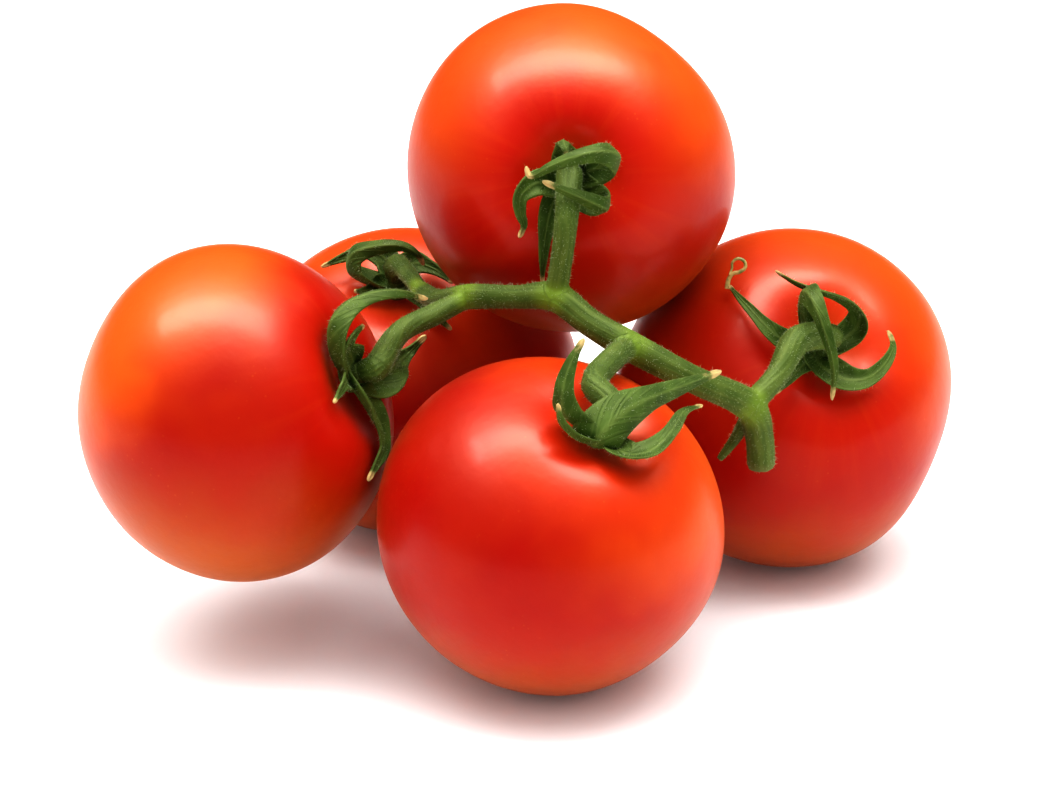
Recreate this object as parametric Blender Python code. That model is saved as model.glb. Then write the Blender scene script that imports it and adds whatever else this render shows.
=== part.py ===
"""A truss of five ripe vine tomatoes, lying as picked on a flat surface.

The main stem runs across the front of the cluster from its cut end. Each fruit hangs on its own
short stalk, and a calyx of curled sepals sits in the hollow of the fruit. Three fruits stand on the
surface, the top one leans on the two behind, and the left one is held up by the stem.
Lengths are in millimetres here and in metres in the scene. The origin is on the surface, under the
middle of the cluster, with +Z up and the calyxes turned towards -Y.
"""

import math
from typing import NamedTuple

import bmesh
import bpy
import numpy as np
from mathutils import Matrix, Vector

MM = 0.001

# Brings the middle of the whole truss over the origin.
CENTRING = (-0.3, -1.45, 0.0)

# Shape shared by the fruits, as shares of the radius unless the name says mm.
HOLLOW_DEPTH = 0.19
HOLLOW_WIDTH = 0.30
BLOSSOM_FLAT = 0.035
BLOSSOM_WIDTH = 0.42
CREASE_HEIGHT = 0.012
CREASE_COUNT = 5
FRUIT_SIDES = 32
FRUIT_RINGS = 18
RING_CROWDING = 1.3

# The calyx sits a little off the floor of the hollow, and meets its stalk at a flat joint.
TOUCH_GAP = 0.3
JOINT_GAP = 0.4
JOINT_HEIGHT = 5.0
JOINT_RADIUS = 2.0
HUB_RADIUS = 3.3
HUB_SIDES = 12

SEPAL_STATIONS = 10
SEPAL_THICKNESS = 0.62
SEPAL_RIB = 0.28
SEPAL_CUP = 0.22
SEPAL_ROOT_RADIUS = 0.8
SEPAL_ROOT_HEIGHT = 1.75

STEM_STEP = 2.2
STEM_BEVEL_RESOLUTION = 3

# Corners nearer than this after a join become one.
WELD = 0.01


class Fruit(NamedTuple):
    """One fruit: its centre, the way its stem end faces, its radius and its irregularities."""

    centre: tuple
    axis: tuple
    radius: float
    height: float  # half the height as a share of the radius
    lobes: tuple  # (lobes round the fruit, height as a share of the radius, turn in degrees)
    flats: tuple  # (direction of a flattened side, depth as a share of the radius, spread in degrees)


class Sepal(NamedTuple):
    """One sepal: its width, its roll towards the tip in degrees, and the line it follows.

    The line's points are measured from the floor of the fruit's hollow, in the fruit's own
    directions: upper side, left side and out along the axis.
    """

    width: float
    twist: float
    route: tuple


FRUITS = {
    "front": Fruit(
        centre=(3.2, -38.0, 29.83),
        axis=(0.34, -0.36, 0.87),
        radius=32.2,
        height=0.93,
        lobes=((2, 0.010, 40), (3, 0.008, 10)),
        flats=(((0.64, -0.26, -0.72), 0.02, 25),),
    ),
    "right": Fruit(
        centre=(51.3, 21.4, 33.18),
        axis=(0.17, -0.75, 0.64),
        radius=34.6,
        height=0.93,
        lobes=((2, 0.012, 280), (3, 0.012, 240)),
        flats=(((0.91, -0.14, -0.40), 0.065, 25),),
    ),
    "back": Fruit(
        centre=(-26.3, 40.0, 30.22),
        axis=(-0.03, -0.43, 0.90),
        radius=33.4,
        height=0.91,
        lobes=((2, 0.010, 100), (4, 0.006, 20)),
        flats=(((0.97, -0.10, 0.20), -0.09, 32),),
    ),
    "left": Fruit(
        centre=(-55.4, -20.5, 45.5),
        axis=(0.87, -0.30, 0.39),
        radius=31.9,
        height=0.91,
        lobes=((2, 0.006, 0), (3, 0.006, 65)),
        flats=(((-0.87, 0.17, 0.47), 0.05, 35),),
    ),
    "top": Fruit(
        centre=(7.4, 15.2, 82.5),
        axis=(-0.02, -0.97, 0.23),
        radius=32.1,
        height=0.93,
        lobes=((2, 0.010, 90), (3, 0.006, 60)),
        flats=(((0.64, 0.26, 0.72), 0.03, 25),),
    ),
}

SEPALS = {
    "front": (
        Sepal(7.2, 85, (
            (-0.1, 6.3, 4.5), (1.7, 9.7, 7.4), (3.9, 10.5, 11.6), (6.2, 8.6, 15.1),
            (8.1, 6.0, 17.4),
        )),
        Sepal(5.8, 40, (
            (-3.4, 7.8, 4.7), (-1.7, 10.9, 6.2), (0.1, 12.9, 8.6), (1.7, 13.5, 11.4),
        )),
        Sepal(8.4, 12, (
            (-4.1, 6.5, 3.9), (-4.6, 6.5, 7.0), (-3.5, 1.9, 9.6), (-2.6, -5.6, 10.2),
            (-2.0, -15.0, 9.7), (-1.9, -25.3, 10.1),
        )),
        Sepal(5.8, 40, (
            (-9.2, 3.1, 5.3), (-10.8, -0.8, 6.5), (-9.4, -6.5, 8.2), (-6.8, -11.6, 8.7),
            (-5.6, -18.5, 7.2),
        )),
        Sepal(4.4, 0, (
            (-2.5, -2.8, 3.1), (-1.9, -5.2, 5.2), (-1.7, -7.3, 7.4),
        )),
    ),
    "right": (
        Sepal(4.8, -30, (
            (0.9, 8.3, 4.8), (3.0, 11.2, 5.8), (6.8, 13.6, 5.5), (11.0, 15.3, 3.6),
            (14.7, 16.3, 1.4),
        )),
        Sepal(6.0, 10, (
            (2.6, 3.9, 5.8), (5.7, 6.0, 11.3), (6.9, 6.1, 15.4), (3.2, 5.6, 18.4), (-2.6, 4.3, 17.8),
            (-8.5, 2.7, 14.6), (-13.2, 2.4, 8.8),
        )),
        Sepal(5.8, 50, (
            (-0.4, -2.2, 3.6), (1.4, -5.7, 6.8), (3.2, -6.1, 10.2), (5.4, -2.9, 12.8),
            (7.0, 2.6, 14.4), (9.5, 6.6, 13.1), (13.5, 9.2, 9.9),
        )),
        Sepal(6.6, 60, (
            (-3.9, 2.1, 3.7), (-8.0, -2.0, 5.1), (-8.5, -6.3, 5.9), (-5.9, -10.2, 6.6),
            (-2.5, -12.4, 6.9), (0.8, -12.0, 6.9),
        )),
        Sepal(4.6, 0, (
            (-4.9, 6.2, 4.8), (-7.8, 9.5, 5.1), (-9.5, 11.7, 4.7),
        )),
    ),
    "back": (
        Sepal(5.6, 80, (
            (-1.1, 6.3, 4.9), (-1.3, 9.3, 7.8), (-0.3, 8.3, 11.5), (0.4, 3.7, 12.9),
            (0.9, -1.5, 12.8), (0.2, -4.4, 11.5), (0.0, -5.7, 8.6),
        )),
        Sepal(4.6, 0, (
            (5.4, 2.7, 4.5), (5.8, 6.7, 6.8), (3.2, 10.6, 7.4), (1.6, 15.4, 6.0),
        )),
        Sepal(4.8, 0, (
            (4.6, -2.6, 4.3), (2.3, -7.4, 5.5), (-1.5, -11.5, 5.3),
        )),
        Sepal(4.4, -45, (
            (-1.4, 3.7, 3.7), (-3.8, 5.8, 4.8), (-4.4, 8.2, 5.2),
        )),
        Sepal(4.8, 0, (
            (-4.4, -4.1, 4.5), (-10.2, -8.0, 5.3), (-13.1, -12.1, 3.5),
        )),
    ),
    "left": (
        Sepal(6.4, 70, (
            (3.9, 3.5, 2.6), (7.3, 5.2, 3.7), (11.0, 5.6, 5.7), (13.2, 3.2, 9.0),
            (13.0, -0.6, 12.8), (10.9, -5.1, 16.1), (7.3, -10.4, 17.8),
        )),
        Sepal(5.2, -40, (
            (2.7, 1.2, 4.0), (6.5, 5.8, 7.1), (7.8, 3.7, 8.3), (8.2, 0.3, 9.1),
        )),
        Sepal(6.6, 0, (
            (-3.3, -4.2, 4.1), (-2.9, -9.5, 5.7), (-3.1, -19.5, 4.9), (-1.1, -21.6, 9.1),
        )),
        Sepal(6.4, 50, (
            (-2.3, 3.1, 3.9), (-6.7, 1.7, 4.1), (-10.7, 1.0, 4.2), (-14.2, 1.5, 3.5),
            (-16.3, 4.5, 2.6), (-18.2, 7.5, 1.3),
        )),
        Sepal(4.2, 0, (
            (0.4, 9.2, 5.1), (-0.6, 10.9, 4.4), (-1.4, 12.8, 4.0),
        )),
    ),
    "top": (
        Sepal(5.4, 0, (
            (2.3, -0.1, 3.8), (5.2, 0.8, 8.1), (6.3, 1.2, 12.1), (4.9, 0.6, 14.3),
            (3.1, 0.2, 13.8),
        )),
        Sepal(5.8, -15, (
            (0.9, -4.5, 4.2), (2.9, -8.1, 8.6), (3.8, -8.8, 13.2), (4.7, -5.9, 16.9),
            (3.7, -1.0, 17.5), (1.9, 3.5, 16.6), (0.0, 7.1, 14.8), (2.0, 7.8, 14.6),
        )),
        Sepal(5.6, 10, (
            (-3.9, -3.4, 4.7), (-5.6, -6.4, 9.0), (-5.6, -6.5, 13.6), (-4.1, -3.4, 15.5),
            (-2.5, 0.7, 15.0), (-0.7, 4.9, 14.6),
        )),
        Sepal(4.8, 0, (
            (-1.7, 3.6, 3.6), (-1.7, 6.5, 6.1), (-4.0, 9.0, 7.1), (-7.0, 9.0, 6.9),
            (-9.2, 8.3, 6.6), (-11.6, 9.2, 6.5),
        )),
        Sepal(3.8, 0, (
            (-5.6, 3.2, 4.2), (-12.1, 4.5, 3.9), (-20.4, 5.0, -0.0),
        )),
    ),
}

# Each line of the stem is a list of points with the stem's radius there, thicker at its knuckles.
CUT_END = (43.2, -18.5, 34.0, 2.7)
RIGHT_FORK = (40.3, -22.0, 47.2, 2.95)
FRONT_FORK = (17.8, -27.6, 60.9, 2.8)
TOP_FORK = (4.3, -22.0, 68.5, 2.8)
LEFT_FORK = (-11.7, -11.5, 65.2, 2.4)

MAIN_STEM = (
    CUT_END,
    (42.6, -20.0, 40.5, 2.7),
    RIGHT_FORK,
    (29.3, -27.0, 54.4, 2.55),
    FRONT_FORK,
    (10.5, -25.6, 64.8, 2.55),
    TOP_FORK,
    (-2.3, -19.0, 67.6, 2.2),
    LEFT_FORK,
    (-17.6, -4.0, 62.0, 2.1),
    (-21.5, 6.0, 60.5, 2.0),
)

# The last free points of each stalk, before it bends into the axis of its fruit.
STALKS = {
    "front": (FRONT_FORK, (14.6, -35.5, 61.4, 2.3), (10.9, -45.0, 59.8, 2.4)),
    "right": (RIGHT_FORK, (45.6, -17.0, 51.2, 2.2), (50.0, -10.5, 56.1, 2.8)),
    "back": (MAIN_STEM[-1], (-24.0, 14.0, 61.0, 1.8), (-26.2, 21.0, 61.2, 1.9)),
    "left": (LEFT_FORK, (-18.0, -14.5, 62.8, 2.1), (-24.5, -20.0, 61.0, 2.1)),
    "top": (TOP_FORK, (5.4, -22.5, 76.5, 2.1), (6.2, -22.5, 84.0, 2.2)),
}

# A thin leftover stalk that hangs behind the fork nearest the cut end.
SPUR = ((40.0, -18.5, 43.0, 1.4), (38.2, -15.5, 38.0, 1.1), (35.6, -14.0, 33.5, 0.7))


def unit(vector):
    """The direction of a vector, as a mathutils Vector."""
    return Vector(vector).normalized()


def fruit_frame(fruit):
    """Three directions of a fruit: its upper side, its left side as seen from outside, its axis."""
    axis = unit(fruit.axis)
    upper = (Vector((0, 0, 1)) - axis * axis.z).normalized()
    return upper, axis.cross(upper), axis


def to_world(fruit, x, y, z):
    """A point in a fruit's own directions, in millimetres, as a world point in metres."""
    upper, side, axis = fruit_frame(fruit)
    return (Vector(fruit.centre) + upper * x + side * y + axis * z) * MM


def fruit_surface(fruit, polar, around):
    """A point of the skin in the fruit's own directions, in millimetres."""
    lobe = sum(h * math.cos(n * around - math.radians(turn)) for n, h, turn in fruit.lobes)
    out = math.sin(polar) * (1 + lobe * math.sin(polar) ** 2)
    height = fruit.height * math.cos(polar)
    if math.cos(polar) > 0:
        height -= HOLLOW_DEPTH * math.exp(-((out / HOLLOW_WIDTH) ** 2))
        rim = math.exp(-(((out - HOLLOW_WIDTH * 1.3) / HOLLOW_WIDTH) ** 2))
        height += CREASE_HEIGHT * rim * math.cos(CREASE_COUNT * around)
    else:
        height += BLOSSOM_FLAT * math.exp(-((out / BLOSSOM_WIDTH) ** 2))
    upper, side, axis = fruit_frame(fruit)
    point = upper * (out * math.cos(around)) + side * (out * math.sin(around)) + axis * height
    shrink = 1.0
    for direction, depth, spread in fruit.flats:
        away = point.angle(Vector(direction))
        shrink -= depth * math.exp(-((away / math.radians(spread)) ** 2))
    point = point * shrink * fruit.radius
    return point.dot(upper), point.dot(side), point.dot(axis)


def hollow_floor(fruit):
    """Height along the axis of the bottom of the hollow, in millimetres."""
    return (fruit.height - HOLLOW_DEPTH) * fruit.radius


def finish(obj, material, auto_angle=40):
    """Gives an object its material and smooth shading."""
    obj.data.materials.clear()
    obj.data.materials.append(material)
    obj.data.shade_smooth()
    obj.data.set_sharp_from_angle(angle=math.radians(auto_angle))
    return obj


def object_from(name, bm):
    """Links a new mesh object made of a bmesh, with its faces turned outward."""
    bmesh.ops.recalc_face_normals(bm, faces=bm.faces)
    if bm.calc_volume(signed=True) < 0:
        bmesh.ops.reverse_faces(bm, faces=bm.faces)
    mesh = bpy.data.meshes.new(name)
    bm.to_mesh(mesh)
    bm.free()
    obj = bpy.data.objects.new(name, mesh)
    bpy.context.scene.collection.objects.link(obj)
    return obj


def make_fruit(name, fruit, material):
    """One fruit: a sphere shaped by the skin's formula, cut flat where it stands on the surface."""
    bm = bmesh.new()
    bmesh.ops.create_uvsphere(bm, u_segments=FRUIT_SIDES, v_segments=FRUIT_RINGS, radius=1)
    for vert in bm.verts:
        polar = math.acos(max(-1.0, min(1.0, vert.co.z)))
        polar = math.pi * (polar / math.pi) ** RING_CROWDING
        around = math.atan2(vert.co.y, vert.co.x)
        vert.co = to_world(fruit, *fruit_surface(fruit, polar, around))
    if min(vert.co.z for vert in bm.verts) < 0:
        everything = bm.verts[:] + bm.edges[:] + bm.faces[:]
        bmesh.ops.bisect_plane(
            bm, geom=everything, plane_co=(0, 0, 0), plane_no=(0, 0, -1), clear_outer=True
        )
        bmesh.ops.holes_fill(bm, edges=[e for e in bm.edges if e.is_boundary])
    return finish(object_from(name, bm), material)


def loft(bm, rings):
    """Joins rings of points, all of one length, into a closed body with flat ends."""
    rows = [[bm.verts.new(point) for point in ring] for ring in rings]
    count = len(rows[0])
    for low, high in zip(rows, rows[1:]):
        for i in range(count):
            j = (i + 1) % count
            bm.faces.new((low[i], low[j], high[j], high[i]))
    bm.faces.new(rows[0])
    bm.faces.new(reversed(rows[-1]))


def make_hub(fruit):
    """The middle of a calyx: a low turned boss that narrows to the joint with the stalk."""
    floor = hollow_floor(fruit)
    profile = (
        (HUB_RADIUS * 0.40, TOUCH_GAP * 1.8),
        (HUB_RADIUS * 0.90, 1.4),
        (HUB_RADIUS, 1.9),
        (HUB_RADIUS * 0.82, 2.6),
        (JOINT_RADIUS * 0.95, 3.6),
        (JOINT_RADIUS, JOINT_HEIGHT),
    )
    bm = bmesh.new()
    rings = []
    for radius, height in profile:
        turns = [2 * math.pi * i / HUB_SIDES for i in range(HUB_SIDES)]
        rings.append(
            [to_world(fruit, radius * math.cos(t), radius * math.sin(t), floor + height) for t in turns]
        )
    loft(bm, rings)
    return object_from("hub", bm)


def smooth_line(points, count):
    """Points at even distances along a smooth curve through the given ones, ends included."""
    stops = [np.array(p, float) for p in points]
    stops = [2 * stops[0] - stops[1]] + stops + [2 * stops[-1] - stops[-2]]
    gaps = [float(np.linalg.norm((b - a)[:3])) for a, b in zip(stops, stops[1:])]
    fine = []
    for i in range(1, len(stops) - 2):
        start, end = stops[i], stops[i + 1]
        leave = (end - stops[i - 1]) * gaps[i] / (gaps[i - 1] + gaps[i])
        arrive = (stops[i + 2] - start) * gaps[i] / (gaps[i] + gaps[i + 1])
        for t in np.linspace(0, 1, 12, endpoint=False):
            ease = t * t * (3 - 2 * t)
            pull = leave * t * (1 - t) ** 2 - arrive * t * t * (1 - t)
            fine.append(start * (1 - ease) + end * ease + pull)
    fine = np.array(fine + [stops[-2]])
    travelled = np.concatenate(([0], np.cumsum(np.linalg.norm(np.diff(fine[:, :3], axis=0), axis=1))))
    wanted = np.linspace(0, travelled[-1], count)
    return [np.array([np.interp(w, travelled, column) for column in fine.T]) for w in wanted]


def sepal_width(share):
    """Half-width of a sepal along its length, as a share of the widest."""
    broad = 0.66 + 0.34 * math.sin(math.pi * min(1.0, share * 1.7))
    return broad * (1 - share**1.7) + 0.09


def sepal_rings(fruit, sepal):
    """Cross-sections of one sepal, from its root in the hub to its tip, as world points."""
    first = Vector(sepal.route[0])
    level = Vector((first.x, first.y, 0)).normalized()
    root = level * SEPAL_ROOT_RADIUS + Vector((0, 0, SEPAL_ROOT_HEIGHT))
    line = [Vector(p) for p in smooth_line([root, *sepal.route], SEPAL_STATIONS)]
    steps = [(end - start).normalized() for start, end in zip(line, line[1:])]
    ways = [steps[0]] + [(a + b).normalized() for a, b in zip(steps, steps[1:])] + [steps[-1]]
    across = Vector((-level.y, level.x, 0))
    rings = []
    for i, (here, along) in enumerate(zip(line, ways)):
        share = i / (SEPAL_STATIONS - 1)
        across = (across - along * across.dot(along)).normalized()
        roll = math.radians(sepal.twist) * share
        flat = across * math.cos(roll) + along.cross(across) * math.sin(roll)
        normal = along.cross(flat)
        half = sepal.width / 2 * sepal_width(share)
        thick = SEPAL_THICKNESS / 2
        rise = SEPAL_CUP * half
        rib = SEPAL_RIB * (1 - share)
        outline = (
            (-half, rise - thick),
            (0, -thick - rib),
            (half, rise - thick),
            (half, rise + thick),
            (0, thick),
            (-half, rise + thick),
        )
        floor = Vector((0, 0, hollow_floor(fruit)))
        rings.append([to_world(fruit, *(floor + here + flat * x + normal * z)) for x, z in outline])
    return rings


def drop_hidden_shells(bm):
    """Keeps only the largest connected skin, so that no sealed space is left inside a body."""
    unseen = set(bm.verts)
    shells = []
    while unseen:
        shell = {unseen.pop()}
        edge = list(shell)
        while edge:
            near = {e.other_vert(v) for v in edge for e in v.link_edges} & unseen
            unseen -= near
            shell |= near
            edge = list(near)
        shells.append(shell)
    largest = max(shells, key=len)
    bmesh.ops.delete(bm, geom=[v for v in bm.verts if v not in largest], context="VERTS")


def union(name, pieces, material):
    """Joins mesh objects into one body with a Boolean on a collection, and removes the pieces."""
    base, *others = pieces
    held = bpy.data.collections.new(name + "_pieces")
    bpy.context.scene.collection.children.link(held)
    for piece in others:
        bpy.context.scene.collection.objects.unlink(piece)
        held.objects.link(piece)
    join = base.modifiers.new("join", "BOOLEAN")
    join.operation = "UNION"
    join.operand_type = "COLLECTION"
    join.collection = held
    join.solver = "EXACT"
    bpy.context.view_layer.update()
    evaluated = base.evaluated_get(bpy.context.evaluated_depsgraph_get())
    mesh = bpy.data.meshes.new_from_object(evaluated)
    bm = bmesh.new()
    bm.from_mesh(mesh)
    bmesh.ops.remove_doubles(bm, verts=bm.verts, dist=WELD * MM)
    bmesh.ops.dissolve_degenerate(bm, edges=bm.edges, dist=WELD * MM)
    drop_hidden_shells(bm)
    bm.to_mesh(mesh)
    bm.free()
    for piece in others + [base]:
        bpy.data.objects.remove(piece)
    bpy.data.collections.remove(held)
    mesh.name = name
    obj = bpy.data.objects.new(name, mesh)
    bpy.context.scene.collection.objects.link(obj)
    return finish(obj, material)


def make_calyx(name, fruit, sepals, material):
    """A calyx: its hub with every sepal joined to it."""
    pieces = [make_hub(fruit)]
    for sepal in sepals:
        bm = bmesh.new()
        loft(bm, sepal_rings(fruit, sepal))
        pieces.append(object_from("sepal", bm))
    return union(name, pieces, material)


def make_tube(points):
    """A stretch of stem: a round tube along a smooth curve, with its own radius at each point."""
    length = sum(math.dist(a[:3], b[:3]) for a, b in zip(points, points[1:]))
    route = smooth_line(points, max(4, round(length / STEM_STEP)))
    curve = bpy.data.curves.new("stretch", "CURVE")
    curve.dimensions = "3D"
    curve.bevel_depth = MM
    curve.bevel_resolution = STEM_BEVEL_RESOLUTION
    curve.use_fill_caps = True
    spline = curve.splines.new("POLY")
    spline.points.add(len(route) - 1)
    for point, (x, y, z, radius) in zip(spline.points, route):
        point.co = (x * MM, y * MM, z * MM, 1)
        point.radius = radius
    source = bpy.data.objects.new("stretch", curve)
    bpy.context.scene.collection.objects.link(source)
    bpy.context.view_layer.update()
    evaluated = source.evaluated_get(bpy.context.evaluated_depsgraph_get())
    mesh = bpy.data.meshes.new_from_object(evaluated)
    bpy.data.objects.remove(source)
    bm = bmesh.new()
    bm.from_mesh(mesh)
    bpy.data.meshes.remove(mesh)
    bmesh.ops.remove_doubles(bm, verts=bm.verts, dist=1e-6)
    return object_from("stretch", bm)


def stalk_route(fruit, points):
    """A stalk's points, carried on into the axis of its fruit and stopped short of the calyx."""
    fork, *rest = points
    start = (*fork[:3], fork[3] * 0.75)
    axis = unit(fruit.axis)
    joint = Vector(fruit.centre) + axis * (hollow_floor(fruit) + JOINT_HEIGHT + JOINT_GAP)
    straight = joint + axis * 1.3
    bend = joint + axis * 2.6
    return [start, *rest, (*bend, 2.5), (*straight, 2.4), (*joint, JOINT_RADIUS)]


def make_stem(name, material):
    """The whole green stem: the main line with a stalk to each fruit, joined into one body."""
    pieces = [make_tube(MAIN_STEM)]
    pieces += [make_tube(stalk_route(FRUITS[key], STALKS[key])) for key in FRUITS]
    pieces.append(make_tube(SPUR))
    return union(name, pieces, material)


def plain_material(name, colour, roughness):
    """A Principled BSDF with one colour and one roughness."""
    material = bpy.data.materials.new(name)
    material.use_nodes = True
    shader = material.node_tree.nodes["Principled BSDF"]
    shader.inputs["Base Color"].default_value = (*colour, 1)
    shader.inputs["Roughness"].default_value = roughness
    shader.inputs["Metallic"].default_value = 0
    return material


def main():
    """Builds every node of the truss."""
    for old in list(bpy.data.objects):
        bpy.data.objects.remove(old)
    skin = plain_material("tomato_skin", (0.78, 0.06, 0.01), 0.25)
    green = plain_material("stem_green", (0.12, 0.20, 0.04), 0.6)
    for key, fruit in FRUITS.items():
        make_fruit("tomato_" + key, fruit, skin)
        make_calyx("calyx_" + key, fruit, SEPALS[key], green)
    make_stem("truss_stem", green)
    for obj in bpy.context.scene.objects:
        obj.data.transform(Matrix.Translation(Vector(CENTRING) * MM))


main()
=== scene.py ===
"""Looks of a truss of five ripe vine tomatoes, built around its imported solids.

Each fruit, each calyx and the stem is modelled again at a finer grain in the place of its solid:
softly shining skins with a blossom scar, sepals with a midrib and dry tips, a jointed stem, and
the fine down that covers everything green.

Lengths are in millimetres in the tables below and in metres in the scene. The origin is on the
table, under the middle of the truss, with +Z up and the calyxes turned towards -Y.
"""

import logging
import math
from dataclasses import dataclass, field
from enum import Enum
from typing import Any, Sequence, Union

import bpy
import numpy as np
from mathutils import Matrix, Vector, noise
from mathutils.kdtree import KDTree


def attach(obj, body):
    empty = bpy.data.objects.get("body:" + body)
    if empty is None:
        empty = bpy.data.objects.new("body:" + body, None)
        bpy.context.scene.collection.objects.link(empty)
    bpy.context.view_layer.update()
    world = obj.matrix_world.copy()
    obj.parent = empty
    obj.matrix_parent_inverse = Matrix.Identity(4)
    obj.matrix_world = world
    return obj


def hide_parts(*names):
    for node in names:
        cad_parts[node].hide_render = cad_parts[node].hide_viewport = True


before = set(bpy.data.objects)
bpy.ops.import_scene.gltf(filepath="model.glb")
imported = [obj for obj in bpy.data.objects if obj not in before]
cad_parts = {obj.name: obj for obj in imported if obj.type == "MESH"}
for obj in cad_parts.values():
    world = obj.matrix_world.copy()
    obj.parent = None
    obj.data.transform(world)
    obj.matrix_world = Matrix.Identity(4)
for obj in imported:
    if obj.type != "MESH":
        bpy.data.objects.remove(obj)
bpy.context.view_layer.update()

LOG = logging.getLogger("truss")
MM = 0.001

# Brings the middle of the whole truss over the origin.
CENTRING = (-0.3, -1.45, 0.0)

# Where a stalk meets its calyx, above the floor of the fruit's hollow, and its radius there.
JOINT_HEIGHT = 5.0
JOINT_RADIUS = 2.0

Colour = tuple[float, float, float]
Point = tuple[float, float, float]
Span = tuple[float, float]
StemLine = tuple[tuple[float, ...], ...]
Number = Union["Signal", float]


class Slot(Enum):
    """The finishes that the record names."""

    SKIN = "tomato_skin"
    CALYX = "calyx_green"
    STEM = "stem_green"


class Signal:
    """A number that varies over a surface: an output socket whose arithmetic adds Math nodes."""

    def __init__(self, paint: "Paint", socket: bpy.types.NodeSocket) -> None:
        """Keeps the socket and the node tree that it belongs to."""
        self.paint = paint
        self.socket = socket

    def __add__(self, other: Number) -> "Signal":
        """The sum of the two."""
        return self.paint.math("ADD", self, other)

    def __mul__(self, other: Number) -> "Signal":
        """The product of the two."""
        return self.paint.math("MULTIPLY", self, other)

    def __sub__(self, other: Number) -> "Signal":
        """This less the other."""
        return self.paint.math("SUBTRACT", self, other)

    def __rsub__(self, other: Number) -> "Signal":
        """The other less this."""
        return self.paint.math("SUBTRACT", other, self)

    def __truediv__(self, other: Number) -> "Signal":
        """This divided by the other."""
        return self.paint.math("DIVIDE", self, other)

    def __pow__(self, other: Number) -> "Signal":
        """This to the power of the other."""
        return self.paint.math("POWER", self, other)

    def __abs__(self) -> "Signal":
        """Its size without its sign."""
        return self.paint.math("ABSOLUTE", self)


class Paint:
    """The node tree of one material, or of the world."""

    def __init__(self, owner: Union[bpy.types.Material, bpy.types.World]) -> None:
        """Turns the owner's nodes on.

        Args:
            owner: The new material or world that the nodes belong to.
        """
        self.owner = owner
        owner.use_nodes = True
        self.tree = owner.node_tree

    def node(self, kind: str, settings: dict[str, Any], sockets: dict[Any, Any]) -> bpy.types.Node:
        """Adds one node.

        Args:
            kind: The node's type, without its ShaderNode prefix.
            settings: Its own settings, which are set before its sockets.
            sockets: A value, a Signal or an output socket for each input, by name or place.

        Returns:
            The node.
        """
        node = self.tree.nodes.new("ShaderNode" + kind)
        for key, value in settings.items():
            setattr(node, key, value)
        for key, value in sockets.items():
            self.feed(node.inputs[key], value)
        return node

    def feed(self, socket: bpy.types.NodeSocket, value: Any) -> None:
        """Links a socket to a Signal or another socket, or sets its value."""
        if isinstance(value, Signal):
            value = value.socket
        if isinstance(value, bpy.types.NodeSocket):
            self.tree.links.new(value, socket)
        elif socket.type == "RGBA" and len(value) == 3:
            socket.default_value = (*value, 1)
        else:
            socket.default_value = value

    def math(self, operation: str, *values: Number) -> Signal:
        """A Math node with these values."""
        node = self.node("Math", {"operation": operation}, dict(enumerate(values)))
        return Signal(self, node.outputs[0])

    def ramp(self, value: Number, low: float, high: float) -> Signal:
        """A smooth step: 0 where the value is at low, 1 where it is at high."""
        places = {"Value": value, "From Min": low, "From Max": high}
        node = self.node("MapRange", {"interpolation_type": "SMOOTHSTEP"}, places)
        return Signal(self, node.outputs[0])

    def mix(self, amount: Number, first: Any, second: Any) -> bpy.types.NodeSocket:
        """The first colour turned into the second by that amount."""
        node = self.node("Mix", {"data_type": "RGBA"}, {0: amount, 6: first, 7: second})
        return node.outputs[2]

    def layers(self, ground: Any, layers: Sequence[tuple[Number, Colour]]) -> Any:
        """The ground colour, with each layer's colour laid over it by the layer's amount."""
        for amount, colour in layers:
            ground = self.mix(amount, ground, colour)
        return ground

    def attribute(self, name: str) -> bpy.types.NodeSocket:
        """A vector that the mesh holds at each of its points."""
        return self.node("Attribute", {"attribute_name": name}, {}).outputs["Vector"]

    def parts(self, vector: bpy.types.NodeSocket) -> tuple[Signal, Signal, Signal]:
        """The three numbers of a vector."""
        split = self.node("SeparateXYZ", {}, {0: vector})
        x, y, z = (Signal(self, output) for output in split.outputs)
        return x, y, z

    def vector(self, *values: Number) -> bpy.types.NodeSocket:
        """A vector made of three numbers."""
        return self.node("CombineXYZ", {}, dict(enumerate(values))).outputs[0]

    def cloud(self, where: Any, scale: float, detail: float = 3.0, shift: float = 0.0) -> Signal:
        """Smooth noise from 0 to 1.

        Args:
            where: The vector that the noise is read at.
            scale: How many waves there are to a unit.
            detail: How many finer layers it has.
            shift: How far the pattern is moved, so that two of a kind differ.

        Returns:
            The noise.
        """
        step = (shift, -shift, shift * 0.7)
        moved = self.node("Mapping", {}, {"Vector": where, "Location": step})
        values = {"Vector": moved.outputs[0], "Scale": scale, "Detail": detail}
        return Signal(self, self.node("TexNoise", {}, values).outputs[0])

    def bump(self, height: Number, depth_mm: float, under: Any = None) -> bpy.types.NodeSocket:
        """A normal roughened by a height from 0 to 1, that many millimetres deep."""
        values = {"Height": height, "Distance": depth_mm * MM, "Strength": 1.0}
        if under is not None:
            values["Normal"] = under
        return self.node("Bump", {}, values).outputs[0]


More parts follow.
